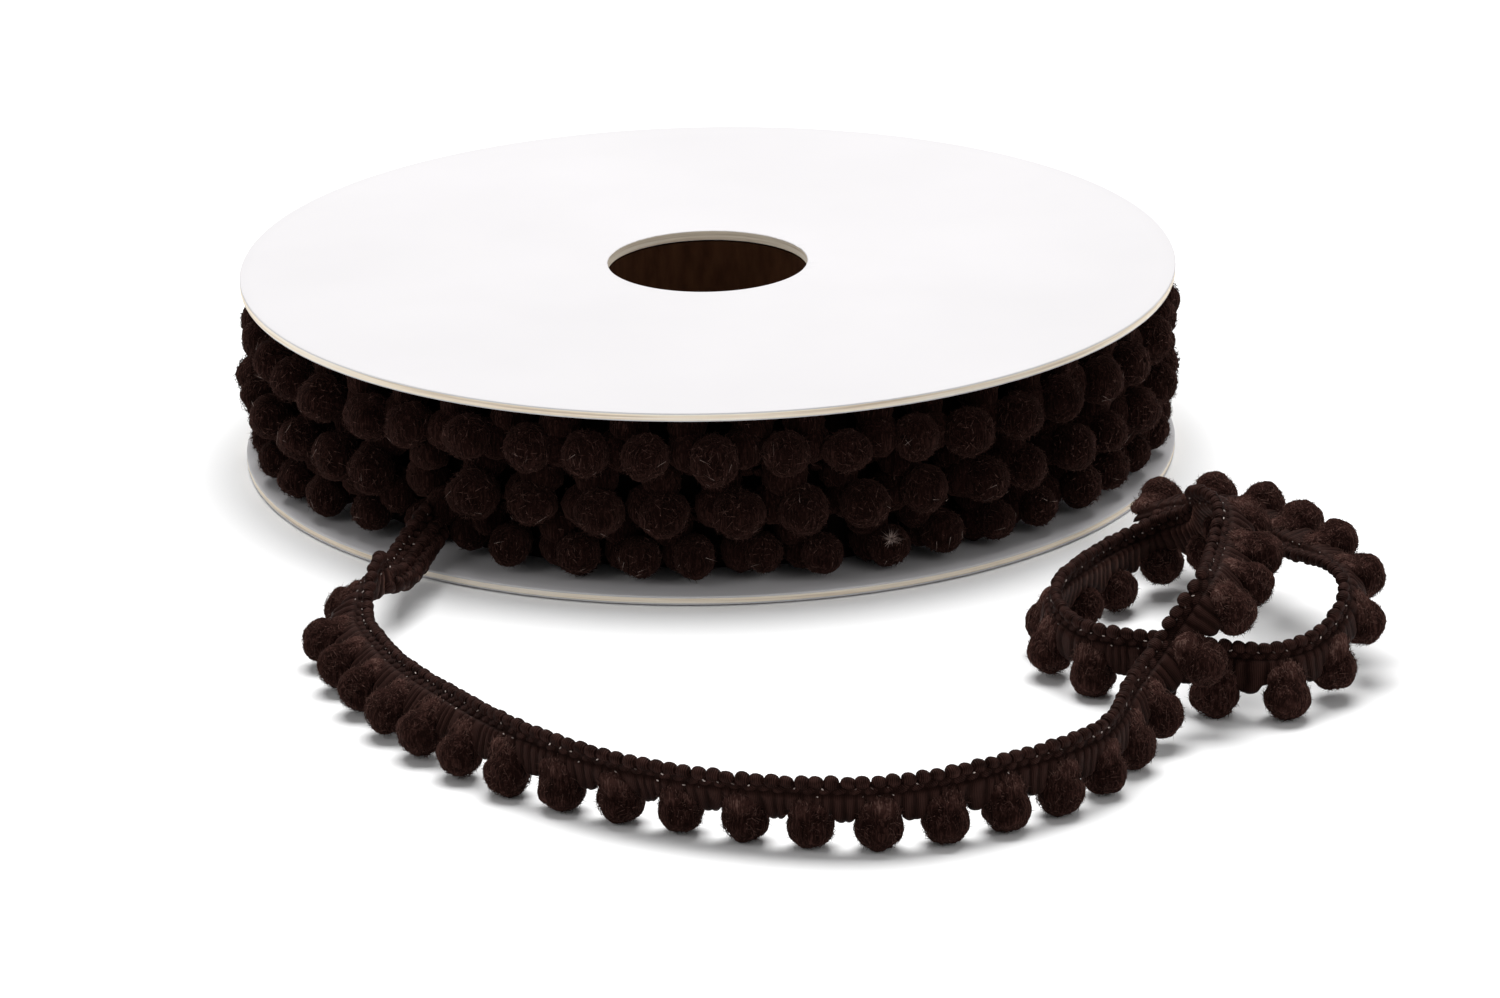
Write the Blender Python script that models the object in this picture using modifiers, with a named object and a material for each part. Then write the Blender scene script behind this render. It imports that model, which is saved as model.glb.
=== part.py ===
"""Pompom fringe trim wound on a flat card reel, its loose end lying in front in a raised loop.

Metres, +Z up. The reel lies flat on its lower flange at z = 0. The origin is the middle of
the whole footprint, so the reel's axis stands at REEL_X, REEL_Y.
"""
import math
import random

import bmesh
import bpy
import numpy as np
from mathutils import Matrix, Vector

MM = 0.001

# Reel axis, measured from the middle of the footprint
REEL_X = -14.5 * MM
REEL_Y = 60.2 * MM

# Card reel: two flat discs on a short tube
FLANGE_RADIUS = 90.0 * MM
FLANGE_THICKNESS = 2.0 * MM
FLANGE_EDGE_ROUND = 0.5 * MM
REEL_HEIGHT = 37.3 * MM
HOLE_RADIUS = 19.3 * MM
CORE_WALL = 2.7 * MM
FIT_GAP = 0.3 * MM
REEL_SEGMENTS = 64

# Trim: two corded rows, a wrapped band and a pompom every PITCH. Widths are measured from
# the trim's middle, up towards the corded edge and down towards the pompoms
PITCH = 11.64 * MM
TRIM_BELOW = 9.5 * MM
HEADING_LOW = 1.4 * MM
HEADING_HIGH = 4.6 * MM
HEADING_THICKNESS = 2.6 * MM
HEADING_CORNER = 0.9 * MM
BAND_LOW = -4.5 * MM
BAND_HIGH = 0.9 * MM
BAND_THICKNESS = 1.8 * MM
POMPOM_RADIUS = 4.1 * MM
POMPOM_SIDE_RADIUS = 4.3 * MM
POMPOM_TOP = 0.6 * MM
POMPOM_SIDES = 6
POMPOM_RINGS = 4
ROUND_ANGLE = 40.0

# Winding: courses of trim side by side, only their pompoms and ridges showing
WOUND_RADIUS = 80.6 * MM
RIDGE_HEIGHT = 1.6 * MM
RIDGE_HALF = 2.0 * MM
WOUND_SEGMENTS = 48
# row height, middle radius, pompom radius, pompoms in the row, turn of the first in degrees
COURSES = (
    {"height": 26.3, "middle": 84.0, "radius": 4.8, "count": 43, "turn": 1.0},
    {"height": 15.9, "middle": 84.2, "radius": 4.8, "count": 43, "turn": 4.4},
    {"height": 6.9, "middle": 83.4, "radius": 4.3, "count": 45, "turn": 0.2},
)
RADIUS_SCATTER = 0.25
TURN_SCATTER = 0.5
HEIGHT_SCATTER = 0.35
MIDDLE_SCATTER = 0.6
CLEAR_OF_LOOSE_END = 6.8 * MM

# Loose end, from the winding to its cut end, in mm from the reel's axis on the floor.
# across and along: place of the trim's middle; lift: height of the pompoms' lowest point;
# lean: turn of the corded edge from upright, to the right of the run, in degrees
LOOSE_RUN = (
    {"part": "winding", "across": -50.5, "along": -65.4, "lift": 0, "lean": 25},
    {"part": "over the rim", "across": -55, "along": -79, "lift": 0, "lean": 65},
    {"part": "over the rim", "across": -57, "along": -89, "lift": 0, "lean": 55},
    {"part": "turn", "across": -60, "along": -98, "lift": 0.5, "lean": 10},
    {"part": "turn", "across": -63, "along": -104, "lift": 1.5, "lean": -35},
    {"part": "left side", "across": -65, "along": -114, "lift": 1, "lean": -65},
    {"part": "left side", "across": -63, "along": -124, "lift": 0.5, "lean": -60},
    {"part": "left side", "across": -58, "along": -139, "lift": 0.5, "lean": -55},
    {"part": "left side", "across": -49, "along": -157, "lift": 0.5, "lean": -45},
    {"part": "front", "across": -37, "along": -176, "lift": 0, "lean": -15},
    {"part": "front", "across": -19, "along": -192, "lift": 0, "lean": 15},
    {"part": "front", "across": 4, "along": -203, "lift": 0, "lean": 20},
    {"part": "front", "across": 29, "along": -207, "lift": 0, "lean": 10},
    {"part": "front", "across": 50, "along": -198, "lift": 0, "lean": 0},
    {"part": "front", "across": 66, "along": -183, "lift": 0, "lean": 0},
    {"part": "climb", "across": 72, "along": -167, "lift": 1, "lean": -20},
    {"part": "climb", "across": 79, "along": -155, "lift": 5.5, "lean": -35},
    {"part": "climb", "across": 86, "along": -150, "lift": 14.5, "lean": -35},
    {"part": "climb", "across": 90, "along": -134, "lift": 16.5, "lean": -65},
    {"part": "top bend", "across": 92, "along": -118, "lift": 18.5, "lean": -50},
    {"part": "top bend", "across": 88, "along": -104, "lift": 14, "lean": -35},
    {"part": "top bend", "across": 87, "along": -94, "lift": 5.5, "lean": -10},
    {"part": "inner back", "across": 81, "along": -89, "lift": 2, "lean": -10},
    {"part": "inner back", "across": 74, "along": -94, "lift": 0.5, "lean": 5},
    {"part": "inner left", "across": 66, "along": -107, "lift": 1, "lean": 0},
    {"part": "inner left", "across": 60, "along": -120, "lift": 1.5, "lean": -15},
    {"part": "under the climb", "across": 64, "along": -136, "lift": 0, "lean": 0},
    {"part": "under the climb", "across": 81, "along": -145, "lift": 0, "lean": -5},
    {"part": "outer front", "across": 98, "along": -150, "lift": 0, "lean": -15},
    {"part": "outer right", "across": 107, "along": -143, "lift": 1.5, "lean": 0},
    {"part": "outer right", "across": 112, "along": -132, "lift": 6.5, "lean": -25},
    {"part": "outer right", "across": 109, "along": -117, "lift": 12, "lean": -80},
    {"part": "outer back", "across": 101, "along": -99, "lift": 13, "lean": -105},
    {"part": "outer back", "across": 91, "along": -84, "lift": 12, "lean": -95},
    {"part": "cut end", "across": 79, "along": -74, "lift": 7.5, "lean": -100},
)
RUN_STEP = 5.8 * MM
SPLINE_STEPS = 24
DIRECTION_REACH = 0.5 * MM
EXIT_DISTANCE = 6.0 * MM
FIRST_POMPOM = 42.5 * MM
LAST_POMPOM_FROM_END = 5.0 * MM
SETTLE_WITHIN = 1.2 * MM


def clear_scene():
    for item in list(bpy.data.objects):
        bpy.data.objects.remove(item, do_unlink=True)


def new_collection(name):
    group = bpy.data.collections.new(name)
    bpy.context.scene.collection.children.link(group)
    return group


def plain_material(name, colour, roughness):
    material = bpy.data.materials.new(name)
    material.use_nodes = True
    shader = material.node_tree.nodes["Principled BSDF"]
    shader.inputs["Base Color"].default_value = (*colour, 1.0)
    shader.inputs["Roughness"].default_value = roughness
    shader.inputs["Metallic"].default_value = 0.0
    return material


def add_object(name, mesh, group, material=None):
    item = bpy.data.objects.new(name, mesh)
    group.objects.link(item)
    if material is not None:
        item.data.materials.append(material)
    return item


def finish_mesh(item):
    """Keep the shape that the modifiers make as a plain mesh, shaded smooth where it is round."""
    graph = bpy.context.evaluated_depsgraph_get()
    mesh = bpy.data.meshes.new_from_object(item.evaluated_get(graph))
    mesh.name = item.name
    item.modifiers.clear()
    item.data = mesh
    mesh.shade_smooth()
    mesh.set_sharp_from_angle(angle=math.radians(ROUND_ANGLE))


def turned_mesh_object(name, profile, segments, group, material):
    """A closed profile of radius and height, outer side listed from top to bottom."""
    shape = bmesh.new()
    corners = [shape.verts.new((radius, 0.0, height)) for radius, height in profile]
    for index, corner in enumerate(corners):
        shape.edges.new((corner, corners[(index + 1) % len(corners)]))
    mesh = bpy.data.meshes.new(name)
    shape.to_mesh(mesh)
    shape.free()
    item = add_object(name, mesh, group, material)
    item.location = (REEL_X, REEL_Y, 0.0)
    screw = item.modifiers.new("Turn", "SCREW")
    screw.axis = "Z"
    screw.angle = 2.0 * math.pi
    screw.steps = segments
    screw.render_steps = segments
    screw.use_merge_vertices = True
    screw.merge_threshold = 0.01 * MM
    return item


def flange(name, lowest, group, material):
    edge = FLANGE_EDGE_ROUND
    highest = lowest + FLANGE_THICKNESS
    profile = (
        (HOLE_RADIUS, highest),
        (FLANGE_RADIUS - edge, highest),
        (FLANGE_RADIUS, highest - edge),
        (FLANGE_RADIUS, lowest + edge),
        (FLANGE_RADIUS - edge, lowest),
        (HOLE_RADIUS, lowest),
    )
    return turned_mesh_object(name, profile, REEL_SEGMENTS, group, material)


def core_tube(group, material):
    lowest = FLANGE_THICKNESS + FIT_GAP
    highest = REEL_HEIGHT - FLANGE_THICKNESS - FIT_GAP
    outer = HOLE_RADIUS + CORE_WALL
    profile = (
        (HOLE_RADIUS, highest),
        (outer, highest),
        (outer, lowest),
        (HOLE_RADIUS, lowest),
    )
    return turned_mesh_object("core_tube", profile, REEL_SEGMENTS, group, material)


def round_pompom(shape, placement, top_stretch):
    """One pompom round the origin of placement, its upper half drawn out along its Z."""
    made = bmesh.ops.create_uvsphere(
        shape, u_segments=POMPOM_SIDES, v_segments=POMPOM_RINGS, radius=1.0)
    for point in made["verts"]:
        if point.co.z > 0.0:
            point.co.z *= top_stretch
        point.co = placement @ point.co
    return made["verts"]


def add_union(item, cutter, name):
    union = item.modifiers.new(name, "BOOLEAN")
    union.operation = "UNION"
    union.solver = "EXACT"
    union.object = cutter


def guide_object(name, shape, guides):
    mesh = bpy.data.meshes.new(name)
    shape.to_mesh(mesh)
    shape.free()
    item = add_object(name, mesh, guides)
    item.hide_render = True
    item.display_type = "WIRE"
    return item


def pompom_course(index, course, exit_point, guides):
    """The pompoms of one course, left out where the loose end comes through."""
    scatter = random.Random(index + 1)
    shape = bmesh.new()
    for number in range(course["count"]):
        turn = math.radians(course["turn"] + TURN_SCATTER * scatter.uniform(-1.0, 1.0))
        turn += 2.0 * math.pi * number / course["count"]
        radius = (course["radius"] + RADIUS_SCATTER * scatter.uniform(-1.0, 0.0)) * MM
        middle = (course["middle"] + MIDDLE_SCATTER * scatter.uniform(-1.0, 1.0)) * MM
        height = (course["height"] + HEIGHT_SCATTER * scatter.uniform(0.0, 1.0)) * MM
        place = Vector((
            REEL_X + middle * math.sin(turn), REEL_Y - middle * math.cos(turn), height))
        if (place - exit_point).length < radius + CLEAR_OF_LOOSE_END:
            continue
        placement = Matrix.Translation(place) @ Matrix.Rotation(turn, 4, "Z")
        placement = placement @ Matrix.Rotation(math.pi / 2.0, 4, "X")
        placement = placement @ Matrix.Diagonal((radius, radius, radius, 1.0))
        round_pompom(shape, placement, 1.0)
    return guide_object("pompom course %d" % (index + 1), shape, guides)


def wound_trim(exit_point, group, guides, material):
    """The wound body, a ridge of corded heading over each course, and its pompoms."""
    lowest = FLANGE_THICKNESS + FIT_GAP
    highest = REEL_HEIGHT - FLANGE_THICKNESS - FIT_GAP
    inner = HOLE_RADIUS + CORE_WALL + FIT_GAP
    profile = [(inner, highest), (WOUND_RADIUS, highest)]
    for upper, lower in zip(COURSES, COURSES[1:]):
        ridge = 0.5 * (upper["height"] + lower["height"]) * MM
        profile.append((WOUND_RADIUS, ridge + RIDGE_HALF))
        profile.append((WOUND_RADIUS + RIDGE_HEIGHT, ridge))
        profile.append((WOUND_RADIUS, ridge - RIDGE_HALF))
    profile += [(WOUND_RADIUS, lowest), (inner, lowest)]
    item = turned_mesh_object("wound_trim", profile, WOUND_SEGMENTS, group, material)
    for index, course in enumerate(COURSES):
        cutter = pompom_course(index, course, exit_point, guides)
        add_union(item, cutter, "Course %d" % (index + 1))
    return item


def middle_height(row):
    """Height of the trim's middle: its pompoms hang below it, or beside it where it leans."""
    hang = TRIM_BELOW - POMPOM_RADIUS
    return row["lift"] * MM + POMPOM_RADIUS + hang * math.cos(math.radians(row["lean"]))


def smooth_run(rows):
    """A natural cubic spline through the rows, read off at even steps along its length."""
    points = np.array([
        (row["across"] * MM + REEL_X, row["along"] * MM + REEL_Y, middle_height(row),
         math.radians(row["lean"])) for row in rows])
    chords = np.linalg.norm(np.diff(points[:, :3], axis=0), axis=1)
    knots = np.concatenate([[0.0], np.cumsum(chords)])
    count = len(knots)
    system = np.eye(count)
    target = np.zeros(points.shape)
    for index in range(1, count - 1):
        before = chords[index - 1]
        after = chords[index]
        system[index, index - 1:index + 2] = (before, 2.0 * (before + after), after)
        target[index] = 6.0 * (
            (points[index + 1] - points[index]) / after
            - (points[index] - points[index - 1]) / before)
    bends = np.linalg.solve(system, target)
    fine = []
    for index in range(count - 1):
        width = chords[index]
        for done in np.linspace(0.0, width, SPLINE_STEPS, endpoint=index == count - 2):
            left = width - done
            fine.append(
                bends[index] * (left ** 3 / (6.0 * width) - width * left / 6.0)
                + bends[index + 1] * (done ** 3 / (6.0 * width) - width * done / 6.0)
                + points[index] * left / width + points[index + 1] * done / width)
    fine = np.array(fine)
    steps = np.linalg.norm(np.diff(fine[:, :3], axis=0), axis=1)
    length = np.concatenate([[0.0], np.cumsum(steps)])
    return fine, length


def read_run(fine, length, distances):
    return np.stack([np.interp(distances, length, column) for column in fine.T], axis=1)


def run_frame(fine, length, distance):
    """Place, direction and the way the corded edge points, at a distance along the run."""
    near = [distance - DIRECTION_REACH, distance, distance + DIRECTION_REACH]
    ends = read_run(fine, length, near)
    place = Vector(ends[1][:3])
    direction = Vector(ends[2][:3] - ends[0][:3]).normalized()
    right = direction.cross(Vector((0.0, 0.0, 1.0))).normalized()
    upward = right.cross(direction)
    lean = ends[1][3]
    edgeward = upward * math.cos(lean) + right * math.sin(lean)
    return place, direction, edgeward


def corded_section():
    """The two corded rows as one flattened hexagon: how far across, how far edgeward."""
    half = 0.5 * HEADING_THICKNESS
    lower = HEADING_LOW + HEADING_CORNER
    upper = HEADING_HIGH - HEADING_CORNER
    return (
        (0.0, HEADING_LOW), (half, lower), (half, upper),
        (0.0, HEADING_HIGH), (-half, upper), (-half, lower))


def band_section():
    half = 0.5 * BAND_THICKNESS
    return ((half, BAND_LOW), (half, BAND_HIGH), (-half, BAND_HIGH), (-half, BAND_LOW))


def swept_strip(name, fine, length, section, group, material):
    """A strip of the given cross-section, swept along the run."""
    count = int(round(length[-1] / RUN_STEP))
    shape = bmesh.new()
    rings = []
    for distance in np.linspace(0.0, length[-1], count + 1):
        place, direction, edgeward = run_frame(fine, length, distance)
        outward = direction.cross(edgeward).normalized()
        ring = [
            shape.verts.new(place + outward * across + edgeward * rise)
            for across, rise in section]
        rings.append(ring)
    edges = [
        [shape.edges.new((ring[side], ring[(side + 1) % len(ring)])) for side in range(len(ring))]
        for ring in rings]
    for first, second in zip(edges, edges[1:]):
        bmesh.ops.bridge_loops(shape, edges=first + second)
    shape.faces.new(rings[0])
    shape.faces.new(rings[-1])
    bmesh.ops.recalc_face_normals(shape, faces=shape.faces)
    mesh = bpy.data.meshes.new(name)
    shape.to_mesh(mesh)
    shape.free()
    return add_object(name, mesh, group, material)


def loose_pompoms(fine, length, guides):
    """The loose end's pompoms, each settled on the floor where it all but touches it."""
    shape = bmesh.new()
    last = length[-1] - LAST_POMPOM_FROM_END
    count = int((last - FIRST_POMPOM) / PITCH) + 1
    stretch = (TRIM_BELOW - POMPOM_RADIUS + POMPOM_TOP) / POMPOM_RADIUS
    for number in range(count):
        place, direction, edgeward = run_frame(fine, length, FIRST_POMPOM + number * PITCH)
        centre = place - edgeward * (TRIM_BELOW - POMPOM_RADIUS)
        outward = direction.cross(edgeward).normalized()
        turn = Matrix((direction, outward, edgeward)).transposed().to_4x4()
        size = Matrix.Diagonal((POMPOM_SIDE_RADIUS, POMPOM_SIDE_RADIUS, POMPOM_RADIUS, 1.0))
        points = round_pompom(shape, Matrix.Translation(centre) @ turn @ size, stretch)
        lowest = min(point.co.z for point in points)
        if lowest < SETTLE_WITHIN:
            for point in points:
                point.co.z -= lowest
    return guide_object("loose pompoms", shape, guides)


def build():
    clear_scene()
    group = new_collection("pompom_fringe_trim_on_reel")
    guides = new_collection("guides")
    card = plain_material("white_card", (0.86, 0.85, 0.84), 0.55)
    brown_card = plain_material("brown_card", (0.20, 0.12, 0.07), 0.85)
    yarn = plain_material("brown_yarn", (0.035, 0.017, 0.014), 0.95)
    cord = plain_material("brown_cord", (0.040, 0.020, 0.017), 0.75)

    flange("flange_bottom", 0.0, group, card)
    flange("flange_top", REEL_HEIGHT - FLANGE_THICKNESS, group, card)
    core_tube(group, brown_card)

    fine, length = smooth_run(LOOSE_RUN)
    exit_point = run_frame(fine, length, EXIT_DISTANCE)[0]
    wound_trim(exit_point, group, guides, yarn)
    swept_strip("loose_heading", fine, length, corded_section(), group, cord)
    strip = swept_strip("loose_pompom_strip", fine, length, band_section(), group, yarn)
    add_union(strip, loose_pompoms(fine, length, guides), "Pompoms")

    for item in group.objects:
        finish_mesh(item)


build()
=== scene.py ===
"""Looks of the pompom fringe trim: a card reel wound with brown trim, its loose end in front."""
import math
import random

import bmesh
import bpy
import numpy as np
from mathutils import Matrix, Vector, noise


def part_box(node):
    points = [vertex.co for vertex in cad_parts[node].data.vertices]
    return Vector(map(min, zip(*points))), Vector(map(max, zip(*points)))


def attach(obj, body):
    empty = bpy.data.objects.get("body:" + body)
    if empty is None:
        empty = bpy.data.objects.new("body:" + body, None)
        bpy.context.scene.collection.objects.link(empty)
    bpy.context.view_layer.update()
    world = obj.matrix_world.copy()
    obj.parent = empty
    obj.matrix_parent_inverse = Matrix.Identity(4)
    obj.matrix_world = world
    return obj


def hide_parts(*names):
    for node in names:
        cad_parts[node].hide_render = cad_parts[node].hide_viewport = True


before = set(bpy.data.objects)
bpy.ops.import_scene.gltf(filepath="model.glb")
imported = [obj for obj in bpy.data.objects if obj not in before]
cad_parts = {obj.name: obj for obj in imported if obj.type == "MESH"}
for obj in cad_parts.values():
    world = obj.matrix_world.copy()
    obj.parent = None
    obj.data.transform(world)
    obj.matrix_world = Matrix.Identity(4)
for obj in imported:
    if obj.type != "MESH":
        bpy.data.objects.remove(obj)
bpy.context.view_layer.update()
MM = 0.001
reel_low, reel_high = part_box("flange_bottom")
REEL_X = 0.5 * (reel_low[0] + reel_high[0])
REEL_Y = 0.5 * (reel_low[1] + reel_high[1])

# Camera
# The photograph's long lens, looking down a little from in front. Its distance and angles were
# worked out from the ellipses of the two discs and the hole.
DISTANCE = 1360.0 * MM
ELEVATION = math.radians(19.28)
PAN = math.radians(-0.31)
TILT = math.radians(-0.46)
ROLL = math.radians(1.09)
FOCAL_LENGTH = 168.0
FRAME_WIDTH = 36.0
rise = math.sin(ELEVATION)
flat = math.cos(ELEVATION)
forward = Vector((0.0, flat, -rise))
right = Vector((1.0, 0.0, 0.0))
up = Vector((0.0, rise, flat))
pan = Matrix.Rotation(PAN, 3, up)
forward, right = pan @ forward, pan @ right
tilt = Matrix.Rotation(TILT, 3, right)
forward, up = tilt @ forward, tilt @ up
roll = Matrix.Rotation(ROLL, 3, forward)
right, up = roll @ right, roll @ up
lens = bpy.data.cameras.new("camera")
lens.lens = FOCAL_LENGTH
lens.sensor_width = FRAME_WIDTH
lens.sensor_fit = "HORIZONTAL"
lens.clip_start = 0.05
lens.clip_end = 20.0
camera = bpy.data.objects.new("camera", lens)
bpy.context.scene.collection.objects.link(camera)
camera.matrix_world = Matrix.LocRotScale(
    Vector((REEL_X, REEL_Y - DISTANCE * flat, DISTANCE * rise)),
    Matrix((right, up, -forward)).transposed().to_quaternion(), None)
bpy.context.scene.camera = camera


# Floor and studio light
# A white sweep under one large soft box overhead and two weak ones in front, in a white room,
# so the shadows are short and soft and lie straight below the trim.
FLOOR_REACH = 3.0
ROOM_LIGHT = 0.22


def new_material(name):
    material = bpy.data.materials.new(name)
    material.use_nodes = True
    return material, material.node_tree.nodes["Principled BSDF"], material.node_tree.links


def add_piece(name, shape, materials):
    """The finished shape as an object at the origin, its place in its mesh."""
    mesh = bpy.data.meshes.new(name)
    shape.to_mesh(mesh)
    shape.free()
    for material in materials:
        mesh.materials.append(material)
    mesh.shade_smooth()
    piece = bpy.data.objects.new(name, mesh)
    bpy.context.scene.collection.objects.link(piece)
    return piece


floor_shape = bmesh.new()
bmesh.ops.create_grid(floor_shape, x_segments=2, y_segments=2, size=FLOOR_REACH)
floor_material, shader, links = new_material("white_sweep")
shader.inputs["Base Color"].default_value = (0.95, 0.95, 0.95, 1.0)
shader.inputs["Roughness"].default_value = 0.85
floor = add_piece("floor", floor_shape, [floor_material])


def soft_box(name, place, aim, size, power):
    light = bpy.data.lights.new(name, "AREA")
    light.shape = "RECTANGLE"
    light.size, light.size_y = size
    light.energy = power
    lamp = bpy.data.objects.new(name, light)
    lamp.location = place
    lamp.rotation_euler = (Vector(aim) - Vector(place)).to_track_quat("-Z", "Y").to_euler()
    bpy.context.scene.collection.objects.link(lamp)


soft_box("top_box", (0.0, 0.40, 1.38), (0.0, -0.05, 0.0), (1.25, 0.90), 29.5)
soft_box("left_box", (-1.2, -0.7, 0.9), (0.0, 0.0, 0.0), (0.9, 0.9), 3.8)
soft_box("right_box", (1.1, -0.9, 0.8), (0.0, 0.0, 0.0), (0.9, 0.9), 4.2)
world = bpy.data.worlds.new("white_room")
world.use_nodes = True
world.node_tree.nodes["Background"].inputs["Color"].default_value = (1.0, 1.0, 1.0, 1.0)
world.node_tree.nodes["Background"].inputs["Strength"].default_value = ROOM_LIGHT
bpy.context.scene.world = world
bpy.context.scene.view_settings.view_transform = "Standard"


# Card discs
# Two discs of grey-brown board, about 2 mm thick, faced with smooth white paper. They were
# punched out, so the cut edges show the board's layers and a thin torn line of white paper.
FLANGE_RADIUS = 0.5 * (reel_high[0] - reel_low[0])
CARD = reel_high[2] - reel_low[2]
HOLE_RADIUS = 19.3 * MM
CARD_STEPS = 320
RIM_LIFT = 0.35 * MM
RIM_ROUGHNESS = 0.05 * MM
CREASE = math.radians(35.0)


def effect_group(name, inputs, output):
    """A shader node group with the given input sockets and one value to put out."""
    group = bpy.data.node_groups.new(name, "ShaderNodeTree")
    for socket, kind, value in inputs:
        made = group.interface.new_socket(name=socket, in_out="INPUT", socket_type=kind)
        made.default_value = value
    group.interface.new_socket(name=output, in_out="OUTPUT", socket_type="NodeSocketFloat")
    return group, group.nodes.new("NodeGroupInput"), group.nodes.new("NodeGroupOutput")


def place_effect(material, group, **values):
    node = material.node_tree.nodes.new("ShaderNodeGroup")
    node.node_tree = group
    for socket, value in values.items():
        node.inputs[socket].default_value = value
    return node.outputs[0]


fibre_grain, given, result = effect_group("fibre_grain", (
    ("Scale", "NodeSocketFloat", 500.0), ("Detail", "NodeSocketFloat", 3.0),
    ("Stretch", "NodeSocketVector", (1.0, 1.0, 1.0))), "Grain")
place = fibre_grain.nodes.new("ShaderNodeTexCoord")
mapping = fibre_grain.nodes.new("ShaderNodeMapping")
texture = fibre_grain.nodes.new("ShaderNodeTexNoise")
for source, target in (
        (place.outputs["Object"], mapping.inputs["Vector"]),
        (given.outputs["Stretch"], mapping.inputs["Scale"]),
        (mapping.outputs["Vector"], texture.inputs["Vector"]),
        (given.outputs["Scale"], texture.inputs["Scale"]),
        (given.outputs["Detail"], texture.inputs["Detail"]),
        (texture.outputs["Fac"], result.inputs["Grain"])):
    fibre_grain.links.new(source, target)


def colour_ramp(material, links, factor, stops):
    ramp = material.node_tree.nodes.new("ShaderNodeValToRGB")
    elements = ramp.color_ramp.elements
    for index, (position, colour) in enumerate(stops):
        element = elements[index] if index < 2 else elements.new(position)
        element.position = position
        element.color = (*colour, 1.0)
    links.new(factor, ramp.inputs["Fac"])
    return ramp.outputs["Color"]


def add_bump(material, links, shader, height, strength, distance):
    bump = material.node_tree.nodes.new("ShaderNodeBump")
    bump.inputs["Strength"].default_value = strength
    bump.inputs["Distance"].default_value = distance
    links.new(height, bump.inputs["Height"])
    links.new(bump.outputs["Normal"], shader.inputs["Normal"])


white_paper, shader, links = new_material("white_paper")
grain = place_effect(white_paper, fibre_grain, Scale=900.0)
clouding = place_effect(white_paper, fibre_grain, Scale=22.0)
links.new(colour_ramp(white_paper, links, clouding, (
    (0.3, (0.590, 0.578, 0.587)), (0.7, (0.615, 0.602, 0.612)))), shader.inputs["Base Color"])
shader.inputs["Roughness"].default_value = 0.65
shader.inputs["Specular IOR Level"].default_value = 0.25
add_bump(white_paper, links, shader, grain, 0.12, 0.05 * MM)

grey_board, shader, links = new_material("grey_board")
layers = place_effect(grey_board, fibre_grain, Scale=260.0, Detail=4.0, Stretch=(0.12, 0.12, 9.0))
links.new(colour_ramp(grey_board, links, layers, (
    (0.25, (0.58, 0.46, 0.34)), (0.5, (0.93, 0.82, 0.66)),
    (0.75, (0.97, 0.92, 0.83)))), shader.inputs["Base Color"])
shader.inputs["Roughness"].default_value = 0.9
add_bump(grey_board, links, shader, layers, 0.5, 0.12 * MM)


def lathe(profile, steps):
    """A closed ring turned from a profile of radius and height round the reel's axis."""
    shape = bmesh.new()
    corners = [shape.verts.new((REEL_X + radius, REEL_Y, height))
               for radius, height in profile]
    edges = [shape.edges.new((corners[index], corners[(index + 1) % len(corners)]))
             for index in range(len(corners))]
    bmesh.ops.spin(
        shape, geom=corners + edges, cent=(REEL_X, REEL_Y, 0.0), axis=(0.0, 0.0, 1.0),
        angle=2.0 * math.pi, steps=steps, use_merge=True)
    bmesh.ops.recalc_face_normals(shape, faces=shape.faces)
    return shape


def card_disc(name, low, node, seed):
    """A disc from its lower face up; the rim's lower edge is lifted a little, as card curls."""
    edge = FLANGE_RADIUS
    high = low + CARD
    profile = (
        (HOLE_RADIUS, high - 0.12 * MM), (HOLE_RADIUS + 0.1 * MM, high),
        (HOLE_RADIUS + 3.0 * MM, high), (edge - 3.0 * MM, high), (edge - 0.45 * MM, high),
        (edge - 0.12 * MM, high - 0.10 * MM), (edge, high - 0.32 * MM),
        (edge - 0.03 * MM, high - 0.40 * MM), (edge - 0.05 * MM, high - 0.8 * MM),
        (edge - 0.02 * MM, high - 1.2 * MM), (edge - 0.06 * MM, low + RIM_LIFT + 0.30 * MM),
        (edge - 0.02 * MM, low + RIM_LIFT + 0.22 * MM), (edge - 0.08 * MM, low + RIM_LIFT),
        (edge - 0.6 * MM, low + 0.9 * RIM_LIFT), (edge - 2.6 * MM, low),
        (HOLE_RADIUS + 3.0 * MM, low), (HOLE_RADIUS + 0.1 * MM, low),
        (HOLE_RADIUS, low + 0.12 * MM), (HOLE_RADIUS + 0.03 * MM, low + 1.0 * MM))
    shape = lathe(profile, CARD_STEPS)
    offset = Vector((seed, 0.0, 0.0))
    for face in shape.faces:
        middle = face.calc_center_median()
        reach = math.hypot(middle.x - REEL_X, middle.y - REEL_Y)
        board_from, board_to = low + RIM_LIFT + 0.26 * MM, high - 0.36 * MM
        board = reach > edge - 0.08 * MM and board_from < middle.z < board_to
        inside = reach < HOLE_RADIUS + 0.04 * MM
        face.material_index = 1 if board or inside else 0
    for point in shape.verts:
        away = Vector((point.co.x - REEL_X, point.co.y - REEL_Y, 0.0))
        if away.length > edge - 1.0 * MM or away.length < HOLE_RADIUS + 0.05 * MM:
            rough = noise.noise(point.co * 900.0 + offset) * RIM_ROUGHNESS
            away.normalize()
            point.co += away * (rough - RIM_ROUGHNESS)
    piece = add_piece(name, shape, [white_paper, grey_board])
    piece.data.set_sharp_from_angle(angle=CREASE)
    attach(piece, "root")
    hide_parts(node)


card_disc("disc_bottom", reel_low[2], "flange_bottom", 3.0)
top_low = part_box("flange_top")[0]
card_disc("disc_top", top_low[2], "flange_top", 11.0)

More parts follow.
